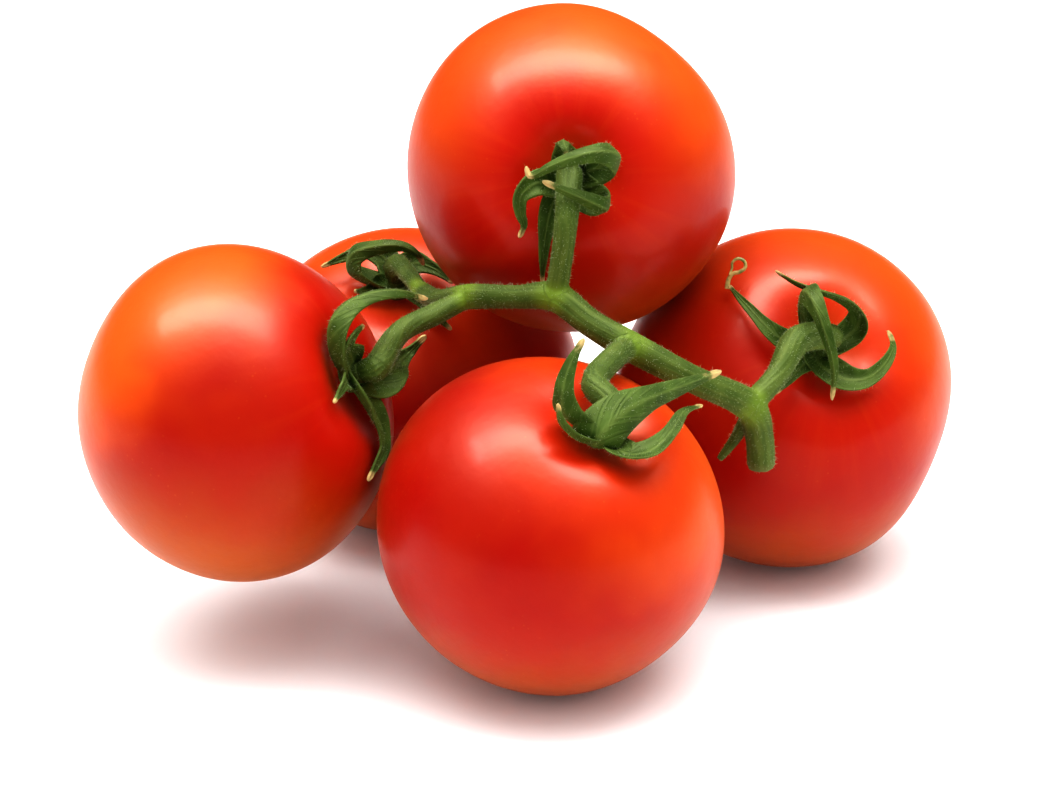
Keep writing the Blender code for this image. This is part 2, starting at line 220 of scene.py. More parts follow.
class Finish:
    """What every finish of the truss shares: a new material around a Principled shader."""

    def start(self, name: str) -> tuple[Paint, bpy.types.Node, bpy.types.NodeSocket]:
        """Starts a material.

        Args:
            name: The material's name.

        Returns:
            Its paint, its shader and the Object coordinates.
        """
        paint = Paint(bpy.data.materials.new(name))
        shader = paint.tree.nodes["Principled BSDF"]
        place = paint.node("TexCoord", {}, {}).outputs["Object"]
        return paint, shader, place

    @staticmethod
    def set_plain(shader: bpy.types.Node, **values: Any) -> None:
        """Sets sockets that are the same all over, by names with _ for a space."""
        for key, value in values.items():
            shader.inputs[key.replace("_", " ").title().replace("Ior", "IOR")].default_value = value

    def set_leafy(self, shader: bpy.types.Node) -> None:
        """Gives green tissue its low shine and faint velvet."""
        self.set_plain(
            shader,
            ior=1.36,
            specular_tint=(0.85, 1.0, 0.4, 1),
            sheen_weight=0.08,
            sheen_roughness=0.5,
            sheen_tint=(0.60, 0.85, 0.25, 1),
        )


@dataclass(frozen=True)
class RipeSkin(Finish):
    """Ripe tomato skin: red flesh under a clear skin, more orange in places, with pale specks.

    Scales are waves to the fruit's radius, or to a metre for the grain and the specks. Edges are
    where a mark starts and where it is full. Shares are how strongly a mark tints the skin.
    """

    red: Colour = (0.34, 0.0022, 0.0004)
    deep_red: Colour = (0.26, 0.0014, 0.0003)
    orange: Colour = (0.70, 0.098, 0.005)
    # Painted fill light: a brighter red laid round the stem end, where the hollow's shade falls.
    painted_glow: Colour = (0.56, 0.010, 0.0008)
    # Painted floor bounce: the orange that light from the white table lends to each fruit's low
    # side.
    painted_floor_bounce: Colour = (0.40, 0.080, 0.004)
    straw: Colour = (0.86, 0.34, 0.05)
    cork: Colour = (0.30, 0.16, 0.06)
    # Orange on the side that faces up: partly the fruit's own blush, partly painted light from the
    # lamps above.
    blush_and_lit_top: float = 0.5
    blush_and_lit_top_way: Point = (1.0, 0.0, 0.0)
    blush_and_lit_top_edge: Span = (0.10, 0.95)
    # Painted rim sheen: how strongly orange is laid round the upper girth, where it starts and where
    # it fades.
    ring: float = 0.0
    rim_sheen_edge: Span = (0.36, 0.98)
    rim_sheen_level: Span = (0.05, 0.03)
    # Painted floor bounce: how strongly it tints the low side, and between which heights.
    under: float = 0.55
    floor_bounce_level: Span = (0.03, 0.0)
    patch_scale: float = 1.7
    patch_rise: float = 0.006
    deep_scale: float = 2.3
    deep_share: float = 0.16
    # Where the painted fill light round the stem end fades, and how strongly it tints.
    painted_hollow_light_edge: Span = (0.85, 0.25)
    painted_hollow_light_share: float = 0.6
    streak_scale: float = 9.0
    streak_share: float = 0.07
    # The pale star round the calyx: partly the fruit's own marking, partly painted fill light on the
    # shaded rim of the hollow.
    star_and_fill_light_edge: Span = (0.36, 0.12)
    star_and_fill_light_share: float = 0.07
    speck_scale: float = 620.0
    speck_share: float = 0.06
    scar_edge: Span = (0.034, 0.018)
    dull: float = 0.40
    dull_scale: float = 7.0
    dull_spread: float = 0.06
    scar_dull: float = 0.35
    ripple_scale: float = 16.0
    ripple_mm: float = 0.05
    grain_scale: float = 1500.0
    grain_mm: float = 0.006
    shift: float = 0.0

    def material(self, name: str) -> bpy.types.Material:
        """Makes the skin of one fruit.

        Args:
            name: The material's name.

        Returns:
            The material, which reads the mesh's fruit_place: a place in the fruit's own
            directions, with the radius as the unit.
        """
        paint, shader, place = self.start(name)
        own = paint.attribute("fruit_place")
        x, y, height = paint.parts(own)
        out = (x * x + y * y) ** 0.5
        specks = self._specks(paint, place)
        scar = paint.ramp(out, *self.scar_edge) * paint.ramp(height, -0.5, -0.7)
        # Painted fill light: brighter red over the stem-end half, standing in for light scattered in
        # the flesh.
        painted_hollow_light = paint.ramp(out, *self.painted_hollow_light_edge) * paint.ramp(height, 0.0, 0.5)
        girth = paint.vector(x / (out + 0.03), y / (out + 0.03), height * 0.25)
        streaks = paint.ramp(paint.cloud(girth, self.streak_scale, 4.0, self.shift), 0.45, 0.75)
        near_end = paint.ramp(abs(height), 0.25, 0.85)
        # Pale star: partly real marking, partly painted fill light on the shaded rim of the hollow.
        star = paint.ramp(out + streaks * 0.10, *self.star_and_fill_light_edge) * paint.ramp(height, 0.2, 0.5)
        colour = paint.layers(self._ripeness(paint, own, place, out), (
            (painted_hollow_light * self.painted_hollow_light_share, self.painted_glow),
            (streaks * near_end * self.streak_share, self.orange),
            (star * self.star_and_fill_light_share, self.straw),
            (specks * self.speck_share, self.straw),
            (scar, self.cork),
        ))
        paint.feed(shader.inputs["Base Color"], colour)
        dull = paint.cloud(own, self.dull_scale, 4.0, self.shift) * self.dull_spread
        dull = dull + scar * self.scar_dull
        paint.feed(shader.inputs["Roughness"], dull + self.dull)
        ripple = paint.cloud(own, self.ripple_scale, 2.0, self.shift)
        relief = paint.bump(ripple, self.ripple_mm)
        grain = paint.cloud(place, self.grain_scale, 2.0)
        relief = paint.bump(grain + specks * 0.5, self.grain_mm, relief)
        paint.feed(shader.inputs["Normal"], relief)
        self.set_plain(
            shader,
            ior=1.42,
            specular_tint=(1.0, 0.44, 0.30, 1),
            coat_weight=0.13,
            coat_roughness=0.19,
            sheen_weight=0.12,
            sheen_roughness=0.40,
            sheen_tint=(1.0, 0.35, 0.08, 1),
        )
        return paint.owner

    def _ripeness(
        self, paint: Paint, own: bpy.types.NodeSocket, place: bpy.types.NodeSocket, out: Signal
    ) -> bpy.types.NodeSocket:
        """The skin's colour before its small marks.

        Args:
            paint: The material's paint.
            own: The place in the fruit's own directions.
            place: The place in the scene.
            out: The distance from the fruit's axis.

        Returns:
            Red, with orange on the side that faces up towards the lamps (partly its own blush,
            partly painted light), painted rim sheen round the upper girth, and a painted floor
            bounce low down.
        """
        patches = paint.ramp(paint.cloud(own, self.patch_scale, 2.0, self.shift), 0.38, 0.68)
        lean = paint.node("VectorMath", {"operation": "DOT_PRODUCT"}, {0: own, 1: self.blush_and_lit_top_way})
        towards = Signal(paint, lean.outputs["Value"])
        # Orange side: partly real blush, partly painted light on the side that faces the lamps
        # above.
        blush_and_lit_top_mask = paint.ramp(towards + patches * 0.12, *self.blush_and_lit_top_edge) ** 1.5
        # Painted rim sheen: orange round the girth, standing in for light glancing off the rims.
        painted_rim_sheen = paint.ramp(out + patches * 0.05, *self.rim_sheen_edge) * self.ring
        _, _, level = paint.parts(place)
        # The painted rim sheen shows only above the painted floor bounce.
        high = 1.0 - paint.ramp(level, *self.rim_sheen_level)
        # Painted floor bounce: orange towards the bottom, where light from the white table falls.
        low = paint.ramp(level + patches * self.patch_rise, *self.floor_bounce_level)
        deep = paint.ramp(paint.cloud(own, self.deep_scale, 3.0, self.shift + 5), 0.5, 0.75)
        return paint.layers(self.red, (
            (blush_and_lit_top_mask * self.blush_and_lit_top + patches * (self.blush_and_lit_top * 0.08), self.orange),
            (painted_rim_sheen * high, self.orange),
            (deep * self.deep_share, self.deep_red),
            (low * self.under, self.painted_floor_bounce),
        ))

    def _specks(self, paint: Paint, place: bpy.types.NodeSocket) -> Signal:
        """Tiny round specks, crowded in some places and missing in others."""
        cells = paint.node("TexVoronoi", {}, {"Vector": place, "Scale": self.speck_scale})
        dots = paint.ramp(Signal(paint, cells.outputs["Distance"]), 0.17, 0.07)
        return dots * paint.ramp(paint.cloud(place, 90.0, 1.0, self.shift), 0.52, 0.66)


@dataclass(frozen=True)
class SepalGreen(Finish):
    """A sepal: dull green, paler along its midrib and margins, with a dry tan tip."""

    shade: Colour = (0.030, 0.060, 0.009)
    leaf: Colour = (0.066, 0.112, 0.020)
    rib: Colour = (0.130, 0.175, 0.046)
    dry: Colour = (0.56, 0.40, 0.18)
    mottle_scale: float = 260.0
    midrib_edge: Span = (0.20, 0.04)
    midrib_share: float = 0.50
    margin_edge: Span = (0.78, 1.0)
    margin_share: float = 0.25
    veins_along: float = 14.0
    veins_slant: float = 3.0
    vein_share: float = 0.22
    vein_mm: float = 0.10
    tip_edge: Span = (0.90, 0.97)
    ragged_share: float = 0.12
    dull: float = 0.54
    grain_scale: float = 1400.0
    grain_mm: float = 0.05

    def material(self, name: str) -> bpy.types.Material:
        """Makes the green of one calyx.

        Args:
            name: The material's name.

        Returns:
            The material, which reads the mesh's sepal_place: the share of the way to the tip,
            the share of the way from the midrib to a margin, and the sepal's own number.
        """
        paint, shader, place = self.start(name)
        along, across, number = paint.parts(paint.attribute("sepal_place"))
        mottle = paint.ramp(paint.cloud(place, self.mottle_scale, 4.0), 0.35, 0.68)
        side = abs(across)
        midrib = paint.ramp(side, *self.midrib_edge)
        margin = paint.ramp(side, *self.margin_edge)
        slanted = along * self.veins_along - side * self.veins_slant
        veins = paint.vector(slanted, side * 0.6, number)
        vein = paint.ramp(paint.cloud(veins, 1.6, 1.0), 0.52, 0.64)
        ragged = along + (paint.cloud(place, 900.0, 3.0) - 0.5) * self.ragged_share
        tip = paint.ramp(ragged, *self.tip_edge)
        colour = paint.layers(self.shade, (
            (mottle, self.leaf),
            (midrib * self.midrib_share + margin * self.margin_share, self.rib),
            (vein * self.vein_share, self.rib),
            (tip, self.dry),
        ))
        paint.feed(shader.inputs["Base Color"], colour)
        paint.feed(shader.inputs["Roughness"], mottle * 0.12 + self.dull)
        grain = paint.cloud(place, self.grain_scale, 3.0)
        relief = paint.bump(vein * 0.6 + midrib * 0.4, self.vein_mm)
        paint.feed(shader.inputs["Normal"], paint.bump(grain, self.grain_mm, relief))
        self.set_leafy(shader)
        return paint.owner


@dataclass(frozen=True)
class StemGreen(Finish):
    """The stem: ribbed lengthways, brighter at its knuckles, partly as painted highlight, browned
    where it was cut.
    """

    shade: Colour = (0.052, 0.088, 0.016)
    bark: Colour = (0.098, 0.138, 0.030)
    # Paler knuckles: partly the stem's own joints, partly a painted highlight where the forks catch
    # the light.
    knuckle: Colour = (0.185, 0.280, 0.026)
    cut: Colour = (0.22, 0.20, 0.09)
    dull: float = 0.52
    rib_scale: float = 3.2
    rib_mm: float = 0.20
    mottle_scale: float = 300.0
    grain_scale: float = 1300.0
    grain_mm: float = 0.06

    def material(self, name: str) -> bpy.types.Material:
        """Makes the green of the stem.

        Args:
            name: The material's name.

        Returns:
            The material, which reads the mesh's stem_place (round the stem as two numbers, and
            along it) and stem_marks (nearness of a knuckle and of a cut end).
        """
        paint, shader, place = self.start(name)
        own = paint.attribute("stem_place")
        knuckle, cut, _ = paint.parts(paint.attribute("stem_marks"))
        ribs = paint.cloud(own, self.rib_scale, 3.0)
        mottle = paint.cloud(place, self.mottle_scale, 4.0)
        tone = paint.ramp(ribs * 0.6 + mottle * 0.4, 0.36, 0.64)
        colour = paint.layers(self.shade, (
            (tone, self.bark),
            # Paler knuckles: partly real, partly painted highlight.
            (knuckle * (mottle * 0.6 + 0.5), self.knuckle),
            (cut * 0.8, self.cut),
        ))
        paint.feed(shader.inputs["Base Color"], colour)
        paint.feed(shader.inputs["Roughness"], mottle * 0.15 + self.dull)
        grain = paint.cloud(place, self.grain_scale, 3.0)
        relief = paint.bump(ribs, self.rib_mm)
        paint.feed(shader.inputs["Normal"], paint.bump(grain, self.grain_mm, relief))
        self.set_leafy(shader)
        return paint.owner


@dataclass(frozen=True)
class TwoTone(Finish):
    """A dull finish that drifts between a green and a pale tone."""

    green: Colour
    pale: Colour
    scale: float
    detail: float
    edge: Span
    dull: float
    dull_spread: float

    def material(self, name: str) -> bpy.types.Material:
        """Makes the finish, by the material's name."""
        paint, shader, place = self.start(name)
        tone = paint.ramp(paint.cloud(place, self.scale, self.detail), *self.edge)
        paint.feed(shader.inputs["Base Color"], paint.mix(tone, self.green, self.pale))
        paint.feed(shader.inputs["Roughness"], tone * self.dull_spread + self.dull)
        return paint.owner


# The fine down on everything green: pale, a little green at the root.
DOWN_WHITE = TwoTone(
    green=(0.24, 0.33, 0.10),
    pale=(0.50, 0.56, 0.34),
    scale=400.0,
    detail=1.0,
    edge=(0.35, 0.65),
    dull=0.5,
    dull_spread=0.1,
)

# A withered sepal end, straw-coloured and dull.
DRY_THREAD = TwoTone(
    green=(0.20, 0.24, 0.06),
    pale=(0.55, 0.40, 0.14),
    scale=500.0,
    detail=2.0,
    edge=(0.35, 0.6),
    dull=0.55,
    dull_spread=0.15,
)


@dataclass(frozen=True)
class TableWhite(Finish):
    """The plain pale floor, which glows very slightly itself."""

    white: Colour = (0.93, 0.92, 0.92)
    darkest: float = 0.985
    painted_glow: float = 0.03

    def material(self, name: str) -> bpy.types.Material:
        """Makes the finish of the floor, by the material's name."""
        paint, shader, place = self.start(name)
        tone = paint.cloud(place, 40.0, 3.0)
        shade = tuple(channel * self.darkest for channel in self.white)
        paint.feed(shader.inputs["Base Color"], paint.mix(tone, self.white, shade))
        self.set_plain(
            shader, roughness=0.7, emission_color=(1, 1, 1, 1), emission_strength=self.painted_glow
        )
        return paint.owner


def clear_selection() -> None:
    """Goes back to object mode and deselects every object."""
    if bpy.context.object and bpy.context.object.mode != "OBJECT":
        bpy.ops.object.mode_set(mode="OBJECT")
    bpy.ops.object.select_all(action="DESELECT")


def pick(obj: bpy.types.Object) -> None:
    """Makes this object the only selected one, and the active one."""
    clear_selection()
    obj.select_set(True)
    bpy.context.view_layer.objects.active = obj


def new_piece(name: str) -> bpy.types.Object:
    """Names the primitive that was just added, and its mesh, and returns it."""
    obj = bpy.context.object
    obj.name = obj.data.name = name
    return obj


def corners(obj: bpy.types.Object) -> np.ndarray:
    """The mesh's points, in metres, one row each."""
    flat = np.empty(len(obj.data.vertices) * 3)
    obj.data.vertices.foreach_get("co", flat)
    return flat.reshape(-1, 3)


def move_corners(obj: bpy.types.Object, points: np.ndarray) -> None:
    """Gives the mesh's points new places."""
    obj.data.vertices.foreach_set("co", np.ascontiguousarray(points, dtype=np.float32).ravel())
    obj.data.update()


def normals(obj: bpy.types.Object) -> np.ndarray:
    """The mesh's normals at its points, one row each."""
    flat = np.empty(len(obj.data.vertices) * 3)
    obj.data.vertex_normals.foreach_get("vector", flat)
    return flat.reshape(-1, 3)


def keep_vectors(obj: bpy.types.Object, name: str, values: np.ndarray) -> None:
    """Stores a vector at each of the mesh's points, for a material to read."""
    layer = obj.data.attributes.new(name, "FLOAT_VECTOR", "POINT")
    layer.data.foreach_set("vector", np.ascontiguousarray(values, dtype=np.float32).ravel())


def shape_with(obj: bpy.types.Object, kind: str, **settings: Any) -> None:
    """Adds a modifier with these settings and applies it.

    Args:
        obj: The piece.
        kind: The modifier's type.
        settings: The modifier's own settings.
    """
    pick(obj)
    modifier = obj.modifiers.new(kind.lower(), kind)
    for key, value in settings.items():
        setattr(modifier, key, value)
    bpy.ops.object.modifier_apply(modifier=modifier.name)


def join(pieces: Sequence[bpy.types.Object], name: str) -> bpy.types.Object:
    """Joins pieces into one object of that name."""
    pick(pieces[0])
    for piece in pieces:
        piece.select_set(True)
    bpy.ops.object.join()
    return new_piece(name)


def turn_outward(obj: bpy.types.Object) -> None:
    """Makes every face of a closed mesh point outwards."""
    pick(obj)
    bpy.ops.object.mode_set(mode="EDIT")
    bpy.ops.mesh.select_all(action="SELECT")
    bpy.ops.mesh.normals_make_consistent(inside=False)
    bpy.ops.object.mode_set(mode="OBJECT")


def dress(obj: bpy.types.Object, material: bpy.types.Material) -> bpy.types.Object:
    """Gives a finished piece its material and its body, and reports it.

    Args:
        obj: The piece.
        material: Its only material.

    Returns:
        The piece.
    """
    pick(obj)
    bpy.ops.object.shade_smooth()
    obj.data.materials.clear()
    obj.data.materials.append(material)
    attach(obj, "root")
    LOG.info("%s: %d faces, %s", obj.name, len(obj.data.polygons), material.name)
    return obj


def unit(rows: np.ndarray) -> np.ndarray:
    """Each row as a direction of length 1."""
    return rows / np.linalg.norm(rows, axis=1)[:, None]


def smooth_line(points: Sequence[Sequence[float]], count: int) -> np.ndarray:
    """Points at even distances along a smooth curve through the given ones.

    Args:
        points: The curve's own points, each with x, y, z and any further numbers.
        count: How many points come back, ends included.

    Returns:
        One row for each point, with as many numbers as the given ones have.
    """
    stops = [np.array(p, float) for p in points]
    stops = [2 * stops[0] - stops[1], *stops, 2 * stops[-1] - stops[-2]]
    gaps = [float(np.linalg.norm((b - a)[:3])) for a, b in zip(stops, stops[1:])]
    fine = []
    for i in range(1, len(stops) - 2):
        start, end = stops[i], stops[i + 1]
        leave = (end - stops[i - 1]) * gaps[i] / (gaps[i - 1] + gaps[i])
        arrive = (stops[i + 2] - start) * gaps[i] / (gaps[i] + gaps[i + 1])
        for t in np.linspace(0, 1, 24, endpoint=False):
            ease = t * t * (3 - 2 * t)
            pull = leave * t * (1 - t) ** 2 - arrive * t * t * (1 - t)
            fine.append(start * (1 - ease) + end * ease + pull)
    fine = np.array([*fine, stops[-2]])
    steps = np.linalg.norm(np.diff(fine[:, :3], axis=0), axis=1)
    travelled = np.concatenate(([0], np.cumsum(steps)))
    wanted = np.linspace(0, travelled[-1], count)
    return np.array([np.interp(wanted, travelled, column) for column in fine.T]).T


def tube(name: str, route: np.ndarray, rounding: int) -> bpy.types.Object:
    """A round tube with flat ends.

    Args:
        name: The name of its mesh.
        route: One row for each point: x, y, z and the radius there, in millimetres.
        rounding: How finely it is rounded, as a curve's bevel resolution.

    Returns:
        The tube as a mesh object.
    """
    clear_selection()
    curve = bpy.data.curves.new(name, "CURVE")
    curve.dimensions = "3D"
    curve.bevel_depth = MM
    curve.bevel_resolution = rounding
    curve.use_fill_caps = True
    spline = curve.splines.new("POLY")
    spline.points.add(len(route) - 1)
    for point, (x, y, z, radius) in zip(spline.points, route):
        point.co = (x * MM, y * MM, z * MM, 1)
        point.radius = radius
    holder = bpy.data.objects.new(name, curve)
    bpy.context.scene.collection.objects.link(holder)
    pick(holder)
    bpy.ops.object.convert(target="MESH")
    return bpy.context.object


@dataclass
class FruitForm:
    """The shape of one fruit, in millimetres, and in shares of its radius where it says so."""

    centre: Point
    axis: Point
    radius: float
    height: float
    lobes: tuple[Point, ...]
    flats: tuple[tuple[Point, float, float], ...]
    # Orange on one side, mostly upward in the scene: partly the fruit's own blush, partly painted
    # light.
    blush_and_lit_top: float = 0.5
    blush_and_lit_top_way: Point = (0.0, 0.0, 1.0)
    # Painted rim sheen round the upper girth, for fruits whose axis faces the camera.
    ring: float = 0.0
    # Painted floor bounce on the low side: its strength, and its top in radii above the lowest
    # point.
    under: float = 0.70
    floor_bounce_top: float = 0.85
    hollow_depth: float = 0.19
    hollow_width: float = 0.30
    blossom_flat: float = 0.035
    blossom_width: float = 0.42
    crease_height: float = 0.006
    crease_count: int = 5

    def directions(self) -> np.ndarray:
        """Three rows: the way to the fruit's upper side, to its left side, and along its axis."""
        axis = Vector(self.axis).normalized()
        upper = (Vector((0, 0, 1)) - axis * axis.z).normalized()
        return np.array([upper, axis.cross(upper), axis])

    def middle(self) -> np.ndarray:
        """The fruit's centre in the scene, in millimetres."""
        return np.array(self.centre) + np.array(CENTRING)

    def floor(self) -> float:
        """Height along the axis of the bottom of the hollow, in millimetres."""
        return (self.height - self.hollow_depth) * self.radius

    def to_scene(self, points: np.ndarray) -> np.ndarray:
        """Turns points in the fruit's own directions, in millimetres, into places in metres."""
        return (np.asarray(points) @ self.directions() + self.middle()) * MM

    def from_scene(self, points: np.ndarray) -> np.ndarray:
        """Turns places in metres into shares of the radius in the fruit's own directions."""
        return (points / MM - self.middle()) @ self.directions().T / self.radius

    def skin(self, polar: np.ndarray, around: np.ndarray) -> np.ndarray:
        """Points of the skin.

        Args:
            polar: Angles from the stem end, in radians.
            around: Angles round the axis, in radians.

        Returns:
            The points in the fruit's own directions, in millimetres.
        """
        lobe = sum(h * np.cos(n * around - math.radians(turn)) for n, h, turn in self.lobes)
        out = np.sin(polar) * (1 + lobe * np.sin(polar) ** 2)
        hollow = self.hollow_depth * np.exp(-((out / self.hollow_width) ** 2))
        rim = np.exp(-(((out - self.hollow_width * 1.3) / self.hollow_width) ** 2))
        crease = self.crease_height * rim * np.cos(self.crease_count * around)
        blossom = self.blossom_flat * np.exp(-((out / self.blossom_width) ** 2))
        height = self.height * np.cos(polar)
        height += np.where(np.cos(polar) > 0, crease - hollow, blossom)
        point = np.stack([out * np.cos(around), out * np.sin(around), height], axis=-1)
        return point * self._shrink(point)[:, None] * self.radius

    def _shrink(self, point: np.ndarray) -> np.ndarray:
        """How much each point is drawn in by the fruit's flattened sides."""
        way = unit(point @ self.directions())
        shrink = np.ones(len(point))
        for direction, depth, spread in self.flats:
            away = np.arccos(np.clip(way @ np.array(Vector(direction).normalized()), -1, 1))
            shrink -= depth * np.exp(-((away / math.radians(spread)) ** 2))
        return shrink


@dataclass
class Tomato:
    """One fruit: a sphere shaped to a tomato, flat where it stands, with its blossom scar."""

    key: str
    form: FruitForm
    segments: int = 96
    rings: int = 60
    inset: float = 0.9950
    dent_mm: float = 0.14
    dent_size_mm: float = 17.0
    crowding: float = 0.24
    scar_mm: float = 0.9
    scar_width: float = 0.022
    moat_width: float = 0.06
    # How far above the painted floor bounce the painted rim sheen fades in, in radii.
    rim_sheen_rise: float = 0.6
    # Where the painted floor bounce is full, in radii above the lowest point.
    floor_bounce_full: float = 0.20

    def build(self) -> bpy.types.Object:
        """Models and dresses the fruit.

        Returns:
            The finished piece, which stands for the fruit's solid.
        """
        clear_selection()
        middle = Vector(self.form.middle()) * MM
        radius = self.form.radius * MM
        bpy.ops.mesh.primitive_uv_sphere_add(
            segments=self.segments, ring_count=self.rings, radius=radius, location=middle
        )
        fruit = new_piece(f"tomato_{self.key}_skin")
        ball = corners(fruit) / radius
        fruit.location = (0, 0, 0)
        move_corners(fruit, self._shaped(ball))
        self._cut_foot(fruit)
        shape_with(fruit, "SUBSURF", levels=1, render_levels=1)
        points = corners(fruit)
        points[:, 2] = np.maximum(points[:, 2], 0)
        move_corners(fruit, points)
        turn_outward(fruit)
        keep_vectors(fruit, "fruit_place", self.form.from_scene(points))
        way = tuple(float(part) for part in self.form.directions() @ np.array(self.form.blush_and_lit_top_way))
        lowest = points[:, 2].min()
        # Top of the painted floor bounce; the painted rim sheen fades in above it.
        floor_bounce_top = lowest + radius * self.form.floor_bounce_top
        finish = RipeSkin(
            blush_and_lit_top=self.form.blush_and_lit_top,
            blush_and_lit_top_way=way,
            ring=self.form.ring,
            rim_sheen_level=(lowest + radius * (self.form.floor_bounce_top + self.rim_sheen_rise), floor_bounce_top),
            under=self.form.under,
            floor_bounce_level=(floor_bounce_top, lowest + radius * self.floor_bounce_full),
            shift=self.form.radius,
        )
        dress(fruit, finish.material(f"tomato_skin_{self.key}"))
        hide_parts(f"tomato_{self.key}")
        return fruit

    def _shaped(self, ball: np.ndarray) -> np.ndarray:
        """Moves the points of a unit ball to the skin, with rings crowded at both ends."""
        polar = np.arccos(np.clip(ball[:, 2], -1, 1))
        polar -= self.crowding * np.sin(2 * polar)
        around = np.arctan2(ball[:, 1], ball[:, 0])
        local = self.form.skin(polar, around)
        out = np.hypot(local[:, 0], local[:, 1]) / self.form.radius
        nub = np.exp(-((out / self.scar_width) ** 2))
        nub -= 0.9 * np.exp(-((out / self.moat_width) ** 2))
        local[:, 2] -= np.where(local[:, 2] < 0, self.scar_mm * nub, 0)
        length = np.linalg.norm(local, axis=1)[:, None]
        seed = Vector(self.form.centre)
        dents = [noise.noise(Vector(p) / self.dent_size_mm + seed) for p in local]
        shallow = self.inset + (np.array(dents)[:, None] - 0.5) * self.dent_mm / length
        return self.form.to_scene(local * shallow)

    def _cut_foot(self, fruit: bpy.types.Object) -> None:
        """Cuts off what would lie under the table."""
        if corners(fruit)[:, 2].min() >= 0:
            return
        pick(fruit)
        bpy.ops.object.mode_set(mode="EDIT")
        bpy.ops.mesh.select_all(action="SELECT")
        bpy.ops.mesh.bisect(
            plane_co=(0, 0, 0), plane_no=(0, 0, -1), clear_outer=True, use_fill=True, threshold=1e-7
        )
        bpy.ops.object.mode_set(mode="OBJECT")


@dataclass
class SepalForm:
    """One sepal: its width, its roll towards the tip in degrees, and the line it follows.

    The line's points are measured from the floor of the fruit's hollow, in the fruit's own
    directions: upper side, left side and out along the axis.
    """

    width: float
    twist: float
    route: tuple[Point, ...]


